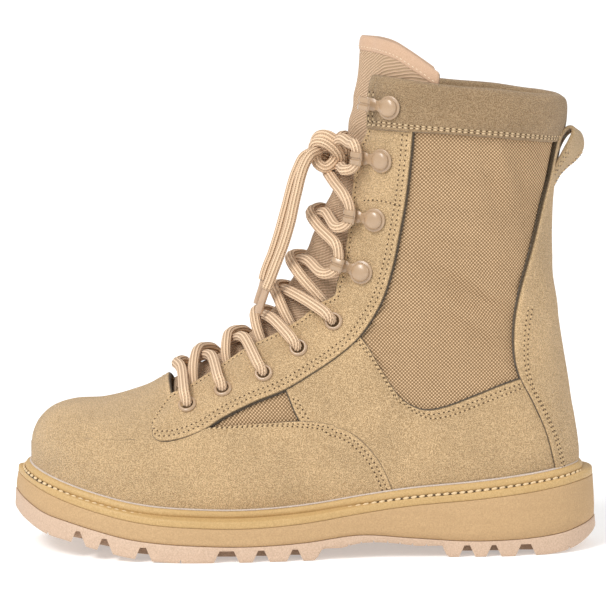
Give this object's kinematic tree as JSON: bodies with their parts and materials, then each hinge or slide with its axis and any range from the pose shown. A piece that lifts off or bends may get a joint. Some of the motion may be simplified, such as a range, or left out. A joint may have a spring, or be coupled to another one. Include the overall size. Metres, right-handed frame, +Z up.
{
  "type": "combat boot",
  "caption": "Tall laced boot with a hollow upper, soft collar, tongue, eyelets and speed hooks, a heel pull loop and a lugged sole with toe spring.",
  "frame": {"origin": "middle of the bounding box, on the floor plane under the tread", "axes": "+Z up, +X towards the heel (the toe points to -X), +Y towards the medial side"},
  "size_m": [0.3057, 0.1153, 0.2668],
  "materials": {
    "suede": "fine nap, golden tan",
    "cuff_suede": "fine nap, darker tan",
    "nylon": "diagonal weave, tan",
    "lining": "plain, tan",
    "welting": "smooth, golden",
    "foam": "fine sandy, tan",
    "rubber": "matte, pinkish tan",
    "enamel": "satin enamel, tan",
    "lace": "ribbed braid, light tan",
    "tip": "satin, light tan"
  },
  "bodies": {
    "root": {"outsole": "rubber", "midsole": "foam", "welt": "welting", "insole": "lining", "upper": "nylon", "vamp": "suede", "quarter_lateral": "suede", "quarter_medial": "suede", "eyestay_lateral": "suede", "eyestay_medial": "suede", "backstay": "suede", "cuff": "cuff_suede", "tongue": "nylon", "pull_loop": "suede", "eyelet_lateral_1": "enamel", "eyelet_lateral_2": "enamel", "eyelet_lateral_3": "enamel", "eyelet_lateral_4": "enamel", "eyelet_lateral_5": "enamel", "eyelet_medial_1": "enamel", "eyelet_medial_2": "enamel", "eyelet_medial_3": "enamel", "eyelet_medial_4": "enamel", "eyelet_medial_5": "enamel", "hook_lateral_1": "enamel", "hook_lateral_2": "enamel", "hook_lateral_3": "enamel", "hook_lateral_4": "enamel", "hook_medial_1": "enamel", "hook_medial_2": "enamel", "hook_medial_3": "enamel", "hook_medial_4": "enamel", "lace_tie_lateral": "lace", "lace_tie_medial": "lace", "lace_bar": "lace", "lace_crossing_1": "lace", "lace_crossing_2": "lace", "lace_crossing_3": "lace", "lace_crossing_4": "lace", "lace_crossing_5": "lace", "lace_crossing_6": "lace", "lace_crossing_7": "lace", "lace_knot": "lace", "lace_end_front": "lace", "lace_tip_front": "tip", "lace_end_back": "lace", "lace_tip_back": "tip"}
  },
  "joints": []
}
